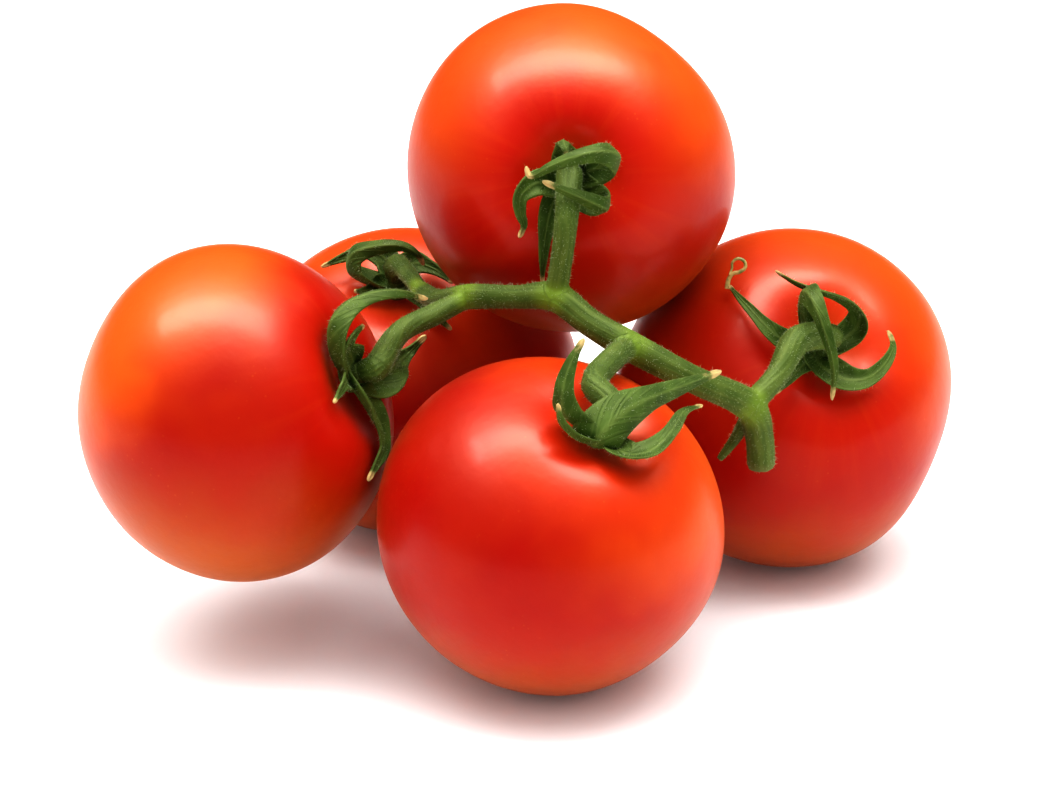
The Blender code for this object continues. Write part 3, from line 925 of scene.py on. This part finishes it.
@dataclass
class Calyx:
    """The green star in the hollow of a fruit: a turned boss with five curled sepals."""

    key: str
    fruit: FruitForm
    sepals: tuple[SepalForm, ...]
    stations: int = 36
    strips: int = 8
    thickness: float = 1.0
    broaden: float = 1.0
    margin_share: float = 0.38
    cup: float = 0.40
    root_radius: float = 0.8
    root_height: float = 1.75
    hub_radius: float = 3.3
    hub_sides: int = 28
    rib_width: float = 0.22
    rib_fade: float = 0.7
    cup_power: float = 1.6
    root_width: float = 0.66
    tip_width: float = 0.09
    taper: float = 1.7
    bead_place: float = 0.965
    bead_width: float = 0.10
    bead_size: float = 0.03
    wave: float = 0.16
    waves_along: float = 5.0
    waves_across: float = 0.8

    def build(self) -> bpy.types.Object:
        """Models and dresses the calyx.

        Returns:
            The finished piece, which stands for the calyx's solid.
        """
        pieces = [self._boss()]
        pieces += [self._blade(sepal, i) for i, sepal in enumerate(self.sepals)]
        calyx = join(pieces, f"calyx_{self.key}_sepals")
        dress(calyx, SepalGreen().material(f"calyx_green_{self.key}"))
        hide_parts(f"calyx_{self.key}")
        return calyx

    def _boss(self) -> bpy.types.Object:
        """The boss: a disc extruded ring by ring into a low turned shape."""
        profile = (
            (self.hub_radius * 0.40, 0.54),
            (self.hub_radius * 0.90, 1.4),
            (self.hub_radius, 1.9),
            (self.hub_radius * 0.82, 2.6),
            (JOINT_RADIUS * 0.95, 3.6),
            (JOINT_RADIUS * 0.96, JOINT_HEIGHT - 0.5),
            (JOINT_RADIUS * 1.03, JOINT_HEIGHT),
        )
        clear_selection()
        bpy.ops.mesh.primitive_circle_add(
            vertices=self.hub_sides, radius=profile[0][0], fill_type="NGON", location=(0, 0, 0)
        )
        boss = new_piece("boss")
        bpy.ops.object.mode_set(mode="EDIT")
        bpy.ops.mesh.select_mode(type="FACE")
        bpy.ops.mesh.select_all(action="SELECT")
        for (inner, low), (outer, high) in zip(profile, profile[1:]):
            step = {"value": (0, 0, high - low)}
            bpy.ops.mesh.extrude_region_move(TRANSFORM_OT_translate=step)
            bpy.ops.transform.resize(value=(outer / inner, outer / inner, 1))
        bpy.ops.object.mode_set(mode="OBJECT")
        points = corners(boss)
        points[:, 2] += self.fruit.floor() + profile[0][1]
        move_corners(boss, self.fruit.to_scene(points))
        turn_outward(boss)
        shape_with(boss, "SUBSURF", levels=1, render_levels=1)
        keep_vectors(boss, "sepal_place", np.zeros((len(boss.data.vertices), 3)))
        return boss

    def _blade(self, sepal: SepalForm, number: int) -> bpy.types.Object:
        """One sepal: a flat grid laid along its line, thickened and smoothed."""
        clear_selection()
        bpy.ops.mesh.primitive_grid_add(
            x_subdivisions=self.stations, y_subdivisions=self.strips, size=2, location=(0, 0, 0)
        )
        blade = new_piece(f"sepal_{number}")
        flat = corners(blade)
        share = (flat[:, 0] + 1) / 2
        across = flat[:, 1]
        move_corners(blade, self._laid(sepal, number, share, across))
        keep_vectors(blade, "sepal_place", np.stack([share, across, 0 * share + number], axis=1))
        stout = blade.vertex_groups.new(name="stout")
        for i, (s, a) in enumerate(zip(share, across)):
            rib = math.exp(-((a / self.rib_width) ** 2)) * (1 - self.rib_fade * s)
            weight = self.margin_share + (1 - self.margin_share) * rib
            stout.add([i], weight, "REPLACE")
        shape_with(
            blade, "SOLIDIFY", thickness=self.thickness * MM, offset=0, vertex_group="stout",
            use_rim=True,
        )
        turn_outward(blade)
        shape_with(blade, "SUBSURF", levels=1, render_levels=1)
        return blade

    def _laid(
        self, sepal: SepalForm, number: int, share: np.ndarray, across: np.ndarray
    ) -> np.ndarray:
        """Places of a sepal's grid points along its line.

        Args:
            sepal: The sepal.
            number: Its number in the calyx.
            share: The share of the way to the tip, for each point.
            across: The share of the way from the midrib to a margin, for each point.

        Returns:
            The places in metres.
        """
        first = np.array(sepal.route[0])
        level = np.array([first[0], first[1], 0]) / math.hypot(first[0], first[1])
        root = level * self.root_radius + np.array([0, 0, self.root_height])
        count = 1 + 2 * self.stations
        line = smooth_line([root, *sepal.route], count)
        ways = unit(np.gradient(line, axis=0))
        side = np.array([-level[1], level[0], 0.0])
        flats, ups = [], []
        for i, way in enumerate(ways):
            side = side - way * side.dot(way)
            side /= np.linalg.norm(side)
            roll = math.radians(sepal.twist) * i / (count - 1)
            flat = side * math.cos(roll) + np.cross(way, side) * math.sin(roll)
            flats.append(flat)
            ups.append(np.cross(way, flat))
        index = np.rint(share * (count - 1)).astype(int)
        half = sepal.width / 2 * self.broaden * self._width(share)
        seed = number * 7.3 + self.fruit.radius
        waves = np.array([
            noise.noise(Vector((s * self.waves_along, a * self.waves_across, seed)))
            for s, a in zip(share, across)
        ])
        cupped = self.cup * np.abs(across) ** self.cup_power
        lift = half * (cupped + self.wave * waves * np.abs(across))
        local = line[index] + np.array(flats)[index] * (half * across)[:, None]
        local += np.array(ups)[index] * lift[:, None]
        local[:, 2] += self.fruit.floor()
        return self.fruit.to_scene(local)

    def _width(self, share: np.ndarray) -> np.ndarray:
        """Half-width of a sepal along its length, as a share of the widest."""
        swell = np.sin(math.pi * np.minimum(1.0, share * self.taper))
        broad = self.root_width + (1 - self.root_width) * swell
        bead = self.bead_width * np.exp(-(((share - self.bead_place) / self.bead_size) ** 2))
        return broad * (1 - share**self.taper) + self.tip_width * (1 - share**8) + bead


@dataclass
class TrussStem:
    """The stem: one line from the cut end, a stalk to each fruit, and one leftover stalk."""

    main: StemLine
    stalks: dict[str, StemLine]
    spur: StemLine
    fruits: dict[str, FruitForm]
    step: float = 0.8
    rounding: int = 8
    voxel: float = 0.30
    rib_depth: float = 0.10
    rib_length: float = 40.0
    knuckle_mm: float = 3.6
    stalk_share: float = 0.75
    bend_mm: float = 2.6
    routes: list[np.ndarray] = field(default_factory=list)

    def build(self) -> bpy.types.Object:
        """Models and dresses the stem.

        Returns:
            The finished piece, which stands for the stem's solid.
        """
        lines = [self.main, self.spur]
        lines += [self._stalk(key) for key in self.fruits]
        for line in lines:
            length = sum(math.dist(a[:3], b[:3]) for a, b in zip(line, line[1:]))
            route = smooth_line(line, max(6, round(length / self.step)))
            route[:, :3] += np.array(CENTRING)
            self.routes.append(route)
        tubes = [tube("stretch", route, self.rounding) for route in self.routes]
        stem = join(tubes, "truss_stem_green")
        shape_with(stem, "REMESH", mode="VOXEL", voxel_size=self.voxel * MM)
        shape_with(stem, "SMOOTH", factor=0.5, iterations=7)
        place, marks = self._places(stem)
        self._rib(stem, place)
        keep_vectors(stem, "stem_place", place)
        keep_vectors(stem, "stem_marks", marks)
        dress(stem, StemGreen().material("stem_green"))
        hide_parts("truss_stem")
        return stem

    def _stalk(self, key: str) -> list[tuple[float, ...]]:
        """A stalk's points, carried on into the axis of its fruit and just into the calyx."""
        fruit = self.fruits[key]
        fork, *rest = self.stalks[key]
        start = (*fork[:3], fork[3] * self.stalk_share)
        axis = fruit.directions()[2]
        joint = np.array(fruit.centre) + axis * (fruit.floor() + JOINT_HEIGHT + 0.4)
        bend = (*(joint + axis * self.bend_mm), 2.5)
        straight = (*(joint + axis * self.bend_mm / 2), 2.4)
        inside = (*(joint - axis * 0.9), JOINT_RADIUS * 0.9)
        return [start, *rest, bend, straight, (*joint, JOINT_RADIUS), inside]

    def _places(self, stem: bpy.types.Object) -> tuple[np.ndarray, np.ndarray]:
        """Where each point of the stem is on it.

        Args:
            stem: The smoothed stem.

        Returns:
            Round the stem as two numbers and along it, and the nearness of knuckles and cut ends.
        """
        centres = np.concatenate(self.routes)
        ways = np.concatenate([np.gradient(route[:, :3], axis=0) for route in self.routes])
        along = np.concatenate([np.arange(len(route)) * self.step for route in self.routes])
        tree = KDTree(len(centres))
        for i, centre in enumerate(centres):
            tree.insert(centre[:3], i)
        tree.balance()
        points = corners(stem) / MM
        nearest = np.array([tree.find(point)[1] for point in points])
        spoke = points - centres[nearest, :3]
        way = unit(ways)[nearest]
        spoke -= way * np.sum(spoke * way, axis=1)[:, None]
        spoke /= np.linalg.norm(spoke, axis=1)[:, None] + 1e-9
        flank = unit(np.cross(way, np.array([0.3, 0.5, 0.8])))
        third = np.cross(way, flank)
        turns = [np.sum(spoke * flank, axis=1), np.sum(spoke * third, axis=1)]
        place = np.stack([*turns, along[nearest] / self.rib_length], axis=1)
        knuckle, cut = np.zeros(len(points)), np.zeros(len(points))
        for fork, *_ in self.stalks.values():
            knuckle = np.maximum(knuckle, self._near(points, fork, self.knuckle_mm, 4))
        for end in (self.main[0], self.spur[-1]):
            cut = np.maximum(cut, self._near(points, end, end[3] * 1.02, 6))
        return place, np.stack([knuckle, cut, 0 * cut], axis=1)

    @staticmethod
    def _near(points: np.ndarray, mark: Sequence[float], reach: float, power: int) -> np.ndarray:
        """How near each point is to a mark on the stem: 1 at the mark, near 0 past its reach."""
        away = np.linalg.norm(points - np.array(mark[:3]) - np.array(CENTRING), axis=1)
        return np.exp(-((away / reach) ** power))

    def _rib(self, stem: bpy.types.Object, place: np.ndarray) -> None:
        """Raises shallow ribs that run along the stem."""
        ribs = [noise.noise(Vector(p) * 2.6) + 0.5 * noise.noise(Vector(p) * 6.0) for p in place]
        rise = np.array(ribs)[:, None] * self.rib_depth * MM
        move_corners(stem, corners(stem) + normals(stem) * rise)


@dataclass
class Down:
    """Fine hairs over a green piece: one hair modelled once, and copied to seeded places."""

    carrier: bpy.types.Object
    name: str
    slot: Slot
    fruits: dict[str, FruitForm]
    per_mm2: float
    length: Span = (0.25, 0.85)
    root_mm: float = 0.035
    sunk_mm: float = 0.03
    ruffle: float = 0.35
    hollow_reach: float = 0.45
    hollow_level: float = 0.86
    seed: int = 7

    def build(self) -> bpy.types.Object:
        """Models and dresses the down.

        Returns:
            The finished piece.
        """
        clear_selection()
        bpy.ops.mesh.primitive_cone_add(
            vertices=3, radius1=1, radius2=0, depth=1, location=(0, 0, 0)
        )
        hair = new_piece(self.name)
        shape = corners(hair) + np.array([0, 0, 0.5])
        faces = [tuple(face.vertices) for face in hair.data.polygons]
        roots, ways = self._roots()
        rng = np.random.default_rng(self.seed)
        low, high = self.length
        lengths = (low + (high - low) * rng.random(len(roots)) ** 2) * MM
        side = unit(np.cross(ways, rng.normal(size=ways.shape)))
        third = np.cross(ways, side)
        thin = self.root_mm * MM
        points = (
            roots[:, None]
            + side[:, None] * shape[None, :, :1] * thin
            + third[:, None] * shape[None, :, 1:2] * thin
            + ways[:, None] * shape[None, :, 2:] * lengths[:, None, None]
        )
        starts = range(0, len(roots) * len(shape), len(shape))
        all_faces = [tuple(start + v for v in face) for start in starts for face in faces]
        mesh = bpy.data.meshes.new(self.name)
        mesh.from_pydata(points.reshape(-1, 3).tolist(), [], all_faces)
        old = hair.data
        hair.data = mesh
        bpy.data.meshes.remove(old)
        turn_outward(hair)
        return dress(hair, DOWN_WHITE.material(self.name + "_finish"))

    def _roots(self) -> tuple[np.ndarray, np.ndarray]:
        """Places and directions of the hairs, spread evenly over the carrier by a seeded draw."""
        mesh = self.carrier.data
        mesh.calc_loop_triangles()
        index = np.empty(len(mesh.loop_triangles) * 3, dtype=np.int64)
        mesh.loop_triangles.foreach_get("vertices", index)
        points, norms = corners(self.carrier), normals(self.carrier)
        corner = points[index.reshape(-1, 3)]
        edges = corner[:, 1:] - corner[:, :1]
        twice = np.linalg.norm(np.cross(edges[:, 0], edges[:, 1]), axis=1)
        rng = np.random.default_rng(self.seed + 1)
        count = int(twice.sum() / 2 / MM**2 * self.per_mm2)
        chosen = rng.choice(len(twice), size=count, p=twice / twice.sum())
        weights = rng.dirichlet((1, 1, 1), size=count)
        roots = np.einsum("ij,ijk->ik", weights, corner[chosen])
        way = np.einsum("ij,ijk->ik", weights, norms[index.reshape(-1, 3)[chosen]])
        way = unit(way + rng.normal(scale=self.ruffle, size=way.shape))
        clear = np.ones(count, dtype=bool)
        for form in self.fruits.values():
            tip = form.from_scene(roots + way * self.length[1] * MM)
            clear &= np.linalg.norm(tip / np.array([1, 1, form.height]), axis=1) > 1.0
            hollow = form.from_scene(roots)
            out = np.hypot(hollow[:, 0], hollow[:, 1])
            high = form.height * self.hollow_level
            clear |= (out < self.hollow_reach) & (hollow[:, 2] > high)
        return roots[clear] - way[clear] * self.sunk_mm * MM, way[clear]


@dataclass
class ThreadLoop:
    """The withered end of one sepal, dried to a thread that curls into a loop.

    Its points are measured from the sepal's tip: to the right, upward and nearer, as it is seen
    from a little above the front.
    """

    fruit: FruitForm
    sepal: SepalForm
    radius: float = 0.42
    stations: int = 60
    rightward: Point = (1.0, 0.0, 0.0)
    upward: Point = (0.0, 0.34, 0.94)
    nearer: Point = (0.0, -0.94, 0.34)
    route: tuple[Point, ...] = (
        (-0.2, -0.9, 0.0),
        (0.1, 0.9, 0.2),
        (0.9, 2.0, 0.5),
        (2.1, 2.3, 0.9),
        (3.2, 3.1, 1.2),
        (3.1, 4.3, 1.3),
        (1.9, 4.9, 1.2),
        (0.8, 4.2, 1.0),
        (0.7, 3.0, 0.8),
        (0.2, 1.8, 0.9),
    )

    def build(self) -> bpy.types.Object:
        """Models and dresses the thread.

        Returns:
            The finished piece.
        """
        tip = np.array(self.sepal.route[-1]) + np.array([0, 0, self.fruit.floor()])
        start = self.fruit.to_scene(tip[None, :])[0] / MM
        seen = np.array([self.rightward, self.upward, self.nearer])
        points = [start + np.array(point) @ seen for point in self.route]
        line = smooth_line(points, self.stations)
        radii = self.radius * (1.2 - 0.7 * np.arange(len(line)) / len(line))
        tube("thread", np.column_stack([line, radii]), 3)
        piece = new_piece("sepal_thread_loop")
        return dress(piece, DRY_THREAD.material("sepal_thread_finish"))


@dataclass(frozen=True)
class SoftBox:
    """A wide soft light that hangs over the truss, by its angle above the horizon in front."""

    name: str
    elevation: float
    size: Span
    watts: float
    distance: float = 0.95
    shine_only: bool = False
    aside: float = 0.0

    def build(self) -> None:
        """Adds the light, which lights only highlights if it is for shine only."""
        light = bpy.data.lights.new(self.name, "AREA")
        light.shape = "RECTANGLE"
        light.size, light.size_y = self.size
        light.energy = self.watts
        box = bpy.data.objects.new(self.name, light)
        bpy.context.scene.collection.objects.link(box)
        lift = math.radians(self.elevation)
        way = Vector((0, -math.cos(lift), math.sin(lift)))
        box.location = way * self.distance + Vector((self.aside, 0, 0.05))
        box.rotation_euler = (lift - math.radians(90), 0, 0)
        box.visible_diffuse = not self.shine_only


@dataclass
class Studio:
    """A white table in soft light, seen through a long lens from a little above."""

    camera_place: Point = (-0.0013, -0.53455, 0.2356)
    camera_down: float = 20.0
    lens: float = 100.0
    sensor: float = 36.0
    nearest: float = 0.01
    table_width: float = 6.0
    boxes: tuple[SoftBox, ...] = (
        SoftBox("long_box", elevation=89.0, size=(1.35, 0.36), watts=5.5),
        SoftBox("wide_box", elevation=88.0, size=(1.80, 0.95), watts=7.5, distance=1.0),
        SoftBox(
            "shine_box", elevation=89.0, size=(1.35, 0.36), watts=33.0, shine_only=True, aside=-0.12
        ),
    )
    ceiling_light: float = 1.12
    wall_light: float = 0.36
    wall_height: Span = (0.0, 0.9)

    def build(self) -> None:
        """Sets up the table, the lights and the camera."""
        self._table()
        for box in self.boxes:
            box.build()
        self._room()
        self._camera()
        view = bpy.context.scene.view_settings
        view.view_transform = "Standard"
        view.look = "High Contrast"
        LOG.info("studio: table, soft boxes, room light and camera")

    def _table(self) -> None:
        """Adds the table top, which isn't part of the truss."""
        clear_selection()
        bpy.ops.mesh.primitive_plane_add(size=self.table_width, location=(0, 0, 0))
        table = new_piece("table_top")
        table.data.materials.append(TableWhite().material("table_white"))

    def _room(self) -> None:
        """Fills the shadows from a room with a white ceiling, which no skin mirrors."""
        world = bpy.data.worlds.new("white_room")
        bpy.context.scene.world = world
        world.cycles_visibility.glossy = False
        paint = Paint(world)
        way = paint.node("TexCoord", {}, {}).outputs["Generated"]
        _, _, height = paint.parts(way)
        ceiling = paint.ramp(height, *self.wall_height)
        colour = paint.mix(ceiling, (self.wall_light,) * 3, (self.ceiling_light,) * 3)
        paint.feed(paint.tree.nodes["Background"].inputs["Color"], colour)

    def _camera(self) -> None:
        """Adds the camera at the photograph's viewing angle."""
        camera = bpy.data.cameras.new("camera")
        camera.lens = self.lens
        camera.sensor_width = self.sensor
        camera.clip_start = self.nearest
        holder = bpy.data.objects.new("camera", camera)
        bpy.context.scene.collection.objects.link(holder)
        holder.location = self.camera_place
        holder.rotation_euler = (math.radians(90 - self.camera_down), 0, 0)
        bpy.context.scene.camera = holder


FRUITS = {
    "front": FruitForm(
        centre=(3.2, -38.0, 29.83),
        axis=(0.34, -0.36, 0.87),
        radius=32.2,
        height=0.93,
        lobes=((2, 0.010, 40), (3, 0.008, 10)),
        flats=(((0.64, -0.26, -0.72), 0.02, 25),),
        blush_and_lit_top=0.75,
        blush_and_lit_top_way=(0.72, -0.1, 0.66),
    ),
    "right": FruitForm(
        centre=(51.3, 21.4, 33.18),
        axis=(0.17, -0.75, 0.64),
        radius=34.6,
        height=0.93,
        lobes=((2, 0.012, 280), (3, 0.012, 240)),
        flats=(((0.91, -0.14, -0.40), 0.065, 25),),
        blush_and_lit_top=0.75,
        blush_and_lit_top_way=(0.60, 0.1, 0.78),
        ring=0.35,
    ),
    "back": FruitForm(
        centre=(-26.3, 40.0, 30.22),
        axis=(-0.03, -0.43, 0.90),
        radius=33.4,
        height=0.91,
        lobes=((2, 0.010, 100), (4, 0.006, 20)),
        flats=(((0.97, -0.10, 0.20), -0.09, 32),),
        blush_and_lit_top=0.85,
        blush_and_lit_top_way=(0, 0, 1),
    ),
    "left": FruitForm(
        centre=(-55.4, -20.5, 45.5),
        axis=(0.87, -0.30, 0.39),
        radius=31.9,
        height=0.91,
        lobes=((2, 0.006, 0), (3, 0.006, 65)),
        flats=(((-0.87, 0.17, 0.47), 0.05, 35),),
        blush_and_lit_top=1.0,
        blush_and_lit_top_way=(-0.78, 0.18, 0.86),
        under=1.0,
        floor_bounce_top=1.22,
    ),
    "top": FruitForm(
        centre=(7.4, 15.2, 82.5),
        axis=(-0.02, -0.97, 0.23),
        radius=32.1,
        height=0.93,
        lobes=((2, 0.010, 90), (3, 0.006, 60)),
        flats=(((0.64, 0.26, 0.72), 0.03, 25),),
        blush_and_lit_top=0.95,
        blush_and_lit_top_way=(0.45, 0.35, 0.78),
        ring=0.70,
    ),
}

SEPALS = {
    "front": (
        SepalForm(7.2, 85, (
            (-0.1, 6.3, 4.5), (1.7, 9.7, 7.4), (3.9, 10.5, 11.6), (6.2, 8.5, 15.3),
            (7.8, 5.8, 19.1),
        )),
        SepalForm(5.8, 40, (
            (-3.4, 7.8, 4.7), (-1.7, 10.9, 6.2), (0.1, 12.9, 8.6), (1.7, 13.5, 11.4),
        )),
        SepalForm(8.4, 12, (
            (-4.1, 6.5, 3.9), (-4.6, 6.5, 7.0), (-3.5, 1.9, 9.6), (-2.6, -5.6, 10.2),
            (-2.0, -15.0, 9.7), (-1.9, -25.3, 10.1),
        )),
        SepalForm(5.8, 40, (
            (-9.2, 3.1, 5.3), (-10.8, -0.8, 6.5), (-9.4, -6.5, 8.2), (-6.8, -11.6, 8.7),
            (-5.6, -18.5, 7.2),
        )),
        SepalForm(4.4, 0, (
            (-2.5, -2.8, 3.1), (-1.9, -5.2, 5.2), (-1.7, -7.3, 7.4),
        )),
    ),
    "right": (
        SepalForm(4.8, -30, (
            (0.9, 8.3, 4.8), (3.0, 11.2, 5.8), (6.8, 13.6, 5.5), (11.0, 15.3, 3.6),
            (14.7, 16.3, 1.4),
        )),
        SepalForm(6.0, 10, (
            (2.6, 3.9, 5.8), (5.7, 6.0, 11.3), (6.9, 6.1, 15.4), (3.2, 5.6, 18.4), (-2.6, 4.3, 17.8),
            (-8.5, 2.7, 14.6), (-13.2, 2.4, 8.8),
        )),
        SepalForm(5.8, 50, (
            (-0.4, -2.2, 3.6), (1.4, -5.7, 6.8), (3.2, -6.1, 10.2), (5.4, -2.9, 12.8),
            (7.0, 2.6, 14.4), (9.5, 6.6, 13.1), (13.5, 9.2, 9.9),
        )),
        SepalForm(6.6, 60, (
            (-3.9, 2.1, 3.7), (-8.0, -2.0, 5.1), (-8.5, -6.3, 5.9), (-5.9, -10.2, 6.6),
            (-2.5, -12.4, 6.9), (0.8, -12.0, 6.9),
        )),
        SepalForm(4.6, 0, (
            (-4.9, 6.2, 4.8), (-7.8, 9.5, 5.1), (-9.5, 11.7, 4.7),
        )),
    ),
    "back": (
        SepalForm(5.6, 80, (
            (-1.1, 6.3, 4.9), (-1.3, 9.3, 7.8), (-0.3, 8.3, 11.5), (0.4, 3.7, 12.9),
            (0.9, -1.5, 12.8), (0.2, -4.4, 11.5), (0.0, -5.7, 8.6),
        )),
        SepalForm(4.6, 0, (
            (5.4, 2.7, 4.5), (5.8, 6.7, 6.8), (3.2, 10.6, 7.4), (1.6, 15.4, 6.0),
        )),
        SepalForm(4.8, 0, (
            (4.6, -2.6, 4.3), (2.3, -7.4, 5.5), (-1.5, -11.5, 5.3),
        )),
        SepalForm(4.4, -45, (
            (-1.4, 3.7, 3.7), (-3.8, 5.8, 4.8), (-4.4, 8.2, 5.2),
        )),
        SepalForm(4.8, 0, (
            (-4.4, -4.1, 4.5), (-10.2, -8.0, 5.3), (-13.1, -12.1, 3.5),
        )),
    ),
    "left": (
        SepalForm(6.4, 70, (
            (3.9, 3.5, 2.6), (7.3, 5.2, 3.7), (11.0, 5.6, 5.7), (13.2, 3.2, 9.0),
            (13.0, -0.6, 12.8), (10.9, -5.1, 16.1), (7.3, -10.4, 17.8),
        )),
        SepalForm(5.2, -40, (
            (2.7, 1.2, 4.0), (6.5, 5.8, 7.1), (7.8, 3.7, 8.3), (8.2, 0.3, 9.1),
        )),
        SepalForm(6.6, 0, (
            (-3.3, -4.2, 4.1), (-2.9, -9.5, 5.7), (-3.1, -19.5, 4.9), (-1.1, -21.6, 9.1),
        )),
        SepalForm(6.4, 50, (
            (-2.3, 3.1, 3.9), (-6.7, 1.7, 4.1), (-10.7, 1.0, 4.2), (-14.2, 1.5, 3.5),
            (-16.3, 4.5, 2.6), (-18.2, 7.5, 1.3),
        )),
        SepalForm(4.2, 0, (
            (0.4, 9.2, 5.1), (-0.6, 10.9, 4.4), (-1.4, 12.8, 4.0),
        )),
    ),
    "top": (
        SepalForm(5.4, 0, (
            (2.3, -0.1, 3.8), (5.2, 0.8, 8.1), (6.3, 1.2, 12.1), (4.9, 0.6, 14.3),
            (3.1, 0.2, 13.8),
        )),
        SepalForm(5.8, -15, (
            (0.9, -4.5, 4.2), (2.9, -8.1, 8.6), (3.8, -8.8, 13.2), (4.7, -5.9, 16.9),
            (3.7, -1.0, 17.5), (1.9, 3.5, 16.6), (0.0, 7.1, 14.8), (2.0, 7.8, 14.6),
        )),
        SepalForm(5.6, 10, (
            (-3.9, -3.4, 4.7), (-5.6, -6.4, 9.0), (-5.6, -6.5, 13.6), (-4.1, -3.4, 15.5),
            (-2.5, 0.7, 15.0), (-0.7, 4.9, 14.6),
        )),
        SepalForm(4.8, 0, (
            (-1.7, 3.6, 3.6), (-1.7, 6.5, 6.1), (-4.0, 9.0, 7.1), (-7.0, 9.0, 6.9),
            (-9.2, 8.3, 6.6), (-11.6, 9.2, 6.5),
        )),
        SepalForm(3.8, 0, (
            (-5.6, 3.2, 4.2), (-12.1, 4.5, 3.9), (-20.4, 5.0, -0.0),
        )),
    ),
}

# How fleshy each calyx is beside its solid.
FLESH = {
    "front": {"thickness": 1.0, "broaden": 1.12, "cup": 0.36},
    "right": {"thickness": 1.0, "broaden": 1.05, "cup": 0.36},
    "back": {"thickness": 1.4, "broaden": 1.25, "cup": 0.50},
    "left": {"thickness": 1.5, "broaden": 1.25, "cup": 0.50},
    "top": {"thickness": 1.5, "broaden": 1.20, "cup": 0.50},
}

# Each line of the stem is a list of points with the stem's radius there, thicker at its knuckles.
CUT_END = (43.2, -18.5, 34.0, 2.7)
RIGHT_FORK = (40.3, -22.0, 47.2, 2.95)
FRONT_FORK = (17.8, -27.6, 60.9, 2.8)
TOP_FORK = (4.3, -22.0, 68.5, 2.8)
LEFT_FORK = (-11.7, -11.5, 65.2, 2.4)
LAST_FORK = (-21.5, 6.0, 60.5, 2.0)

MAIN_STEM = (
    CUT_END,
    (42.6, -20.0, 40.5, 2.7),
    RIGHT_FORK,
    (29.3, -27.0, 54.4, 2.55),
    FRONT_FORK,
    (10.5, -25.6, 64.8, 2.55),
    TOP_FORK,
    (-2.3, -19.0, 67.6, 2.2),
    LEFT_FORK,
    (-17.6, -4.0, 62.0, 2.1),
    LAST_FORK,
)

# The first free points of each stalk, before it bends into the axis of its fruit.
STALKS = {
    "front": (FRONT_FORK, (14.6, -35.5, 61.4, 2.3), (10.9, -45.0, 59.8, 2.4)),
    "right": (RIGHT_FORK, (45.6, -17.0, 51.2, 2.2), (50.0, -10.5, 56.1, 2.8)),
    "back": (LAST_FORK, (-24.0, 14.0, 61.0, 1.8), (-26.2, 21.0, 61.2, 1.9)),
    "left": (LEFT_FORK, (-18.0, -14.5, 62.8, 2.1), (-24.5, -20.0, 61.0, 2.1)),
    "top": (TOP_FORK, (5.4, -22.5, 76.5, 2.1), (6.2, -22.5, 84.0, 2.2)),
}

# A thin leftover stalk that hangs behind the fork nearest the cut end.
SPUR = ((40.0, -18.5, 43.0, 1.4), (38.2, -15.5, 38.0, 1.1), (35.6, -14.0, 33.5, 0.7))


def write_sizes() -> None:
    """Brings the scene's placements up to date."""
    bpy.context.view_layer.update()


def main() -> None:
    """Builds the truss, piece by piece, and the studio around it."""
    logging.basicConfig(level=logging.INFO, format="%(message)s")
    for key, form in FRUITS.items():
        Tomato(key, form).build()
        calyx = Calyx(key, form, SEPALS[key], **FLESH[key]).build()
        Down(calyx, f"calyx_{key}_down", Slot.CALYX, FRUITS, per_mm2=1.4, seed=len(key)).build()
    stem = TrussStem(MAIN_STEM, STALKS, SPUR, FRUITS).build()
    Down(stem, "truss_stem_down", Slot.STEM, FRUITS, per_mm2=2.4, seed=11).build()
    ThreadLoop(FRUITS["right"], SEPALS["right"][0]).build()
    Studio().build()
    write_sizes()


if __name__ == "__main__":
    main()
